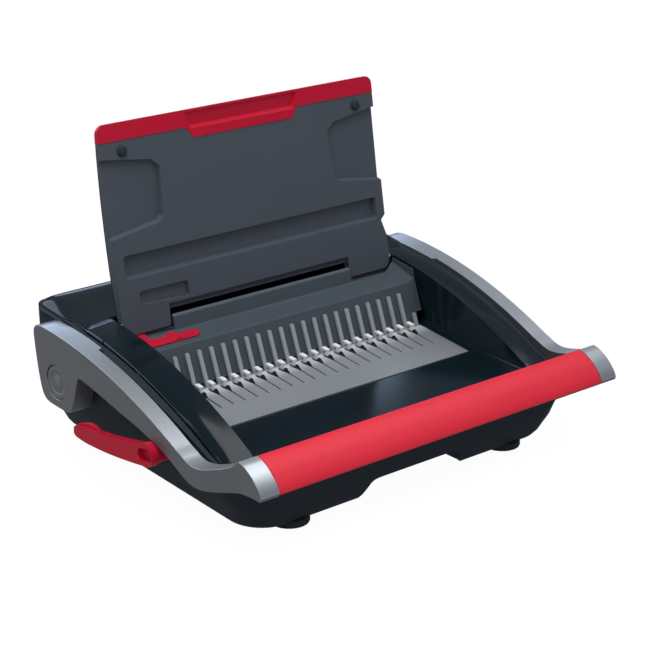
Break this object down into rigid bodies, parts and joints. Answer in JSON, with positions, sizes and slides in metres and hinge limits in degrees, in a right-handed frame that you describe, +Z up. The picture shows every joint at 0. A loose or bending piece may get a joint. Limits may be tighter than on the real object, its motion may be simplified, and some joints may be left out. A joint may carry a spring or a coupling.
{
  "type": "comb binding machine",
  "caption": "Hand comb binder: a lever handle punches a row of slots, a lid opens over the tines, and a side lever draws hooks to open the ring comb.",
  "frame": {"origin": "middle of the footprint on the table, under the four feet", "axes": "+X to the user's right, +Y to the back of the machine, +Z up; the grip is at -Y"},
  "size_m": [0.473, 0.3774, 0.3277],
  "materials": {
    "matte_dark_plastic": "matte moulded texture",
    "black_plastic": "matte",
    "gloss_shell": "high gloss",
    "zinc_steel": "zinc plated, satin",
    "grey_plastic": "satin",
    "brushed_plate": "brushed",
    "tine_steel": "satin",
    "bright_steel": "polished",
    "spring_steel": "satin",
    "bronze": "sintered, satin",
    "rubber_black": "matte",
    "silver_paint": "satin metallic paint",
    "cap_grey": "satin",
    "red_grip": "satin gloss",
    "red_plastic": "satin gloss"
  },
  "bodies": {
    "body": {"base_pan": "matte_dark_plastic", "bottom_plate": "black_plastic", "tray_shell": "gloss_shell", "rear_cover": "gloss_shell", "chassis": "zinc_steel", "tine_housing": "grey_plastic", "comb_plate": "brushed_plate", "tine_comb": "tine_steel", "die_front": "zinc_steel", "die_rear": "zinc_steel", "guide_rod_left": "bright_steel", "guide_rod_right": "bright_steel", "shaft_bush_left": "bronze", "shaft_bush_right": "bronze", "return_spring": "spring_steel", "foot_front_left": "rubber_black", "foot_front_right": "rubber_black", "foot_rear_left": "rubber_black", "foot_rear_right": "rubber_black", "base_screws": "bright_steel"},
    "lid": {"lid_panel": "grey_plastic", "lid_cover": "gloss_shell", "lid_rim": "red_plastic", "lid_bumper_left": "rubber_black", "lid_bumper_right": "rubber_black", "lid_pin_left": "bright_steel", "lid_pin_right": "bright_steel"},
    "handle": {"handle_arm_left": "silver_paint", "handle_arm_right": "silver_paint", "hub_cap_left": "cap_grey", "hub_cap_right": "cap_grey", "grip": "red_grip", "grip_tube": "bright_steel", "handle_shaft": "bright_steel", "cam_left": "zinc_steel", "cam_right": "zinc_steel"},
    "punch_ram": {"punch_bar": "zinc_steel", "punch_pins": "bright_steel"},
    "opener": {"opener_lever": "red_plastic", "opener_shaft": "bright_steel", "opener_gear": "zinc_steel"},
    "hook_carriage": {"hook_bar": "bright_steel", "rack": "zinc_steel"},
    "margin_guide": {"edge_guide": "red_plastic"},
    "drawer": {"chip_drawer": "black_plastic"}
  },
  "joints": [
    {"name": "lid_hinge", "type": "hinge", "parent": "body", "child": "lid", "pos_m": [0.004, 0.09475, 0.1372], "axis": [1, 0, 0], "range_deg": [0, 116]},
    {"name": "handle_hinge", "type": "hinge", "parent": "body", "child": "handle", "pos_m": [0.004, 0.11675, 0.088], "axis": [-1, 0, 0], "range_deg": [0, 60]},
    {"name": "ram_slide", "type": "slide", "parent": "body", "child": "punch_ram", "axis": [0, 0.9848, -0.1736], "range_m": [0, 0.012]},
    {"name": "comb_lever_hinge", "type": "hinge", "parent": "body", "child": "opener", "pos_m": [0.004, -0.04275, 0.069], "axis": [1, 0, 0], "range_deg": [0, 104]},
    {"name": "hook_slide", "type": "slide", "parent": "body", "child": "hook_carriage", "axis": [0, -0.9946, -0.1035], "range_m": [0, 0.0292]},
    {"name": "margin_slide", "type": "slide", "parent": "body", "child": "margin_guide", "axis": [1, 0, 0], "range_m": [-0.008, 0.026]},
    {"name": "drawer_slide", "type": "slide", "parent": "body", "child": "drawer", "axis": [0, 1, 0], "range_m": [0, 0.1]}
  ],
  "couplings": [
    {"joint": "ram_slide", "follows": "handle_hinge", "m_per_rad": 0.01145},
    {"joint": "hook_slide", "follows": "comb_lever_hinge", "m_per_rad": 0.016}
  ]
}
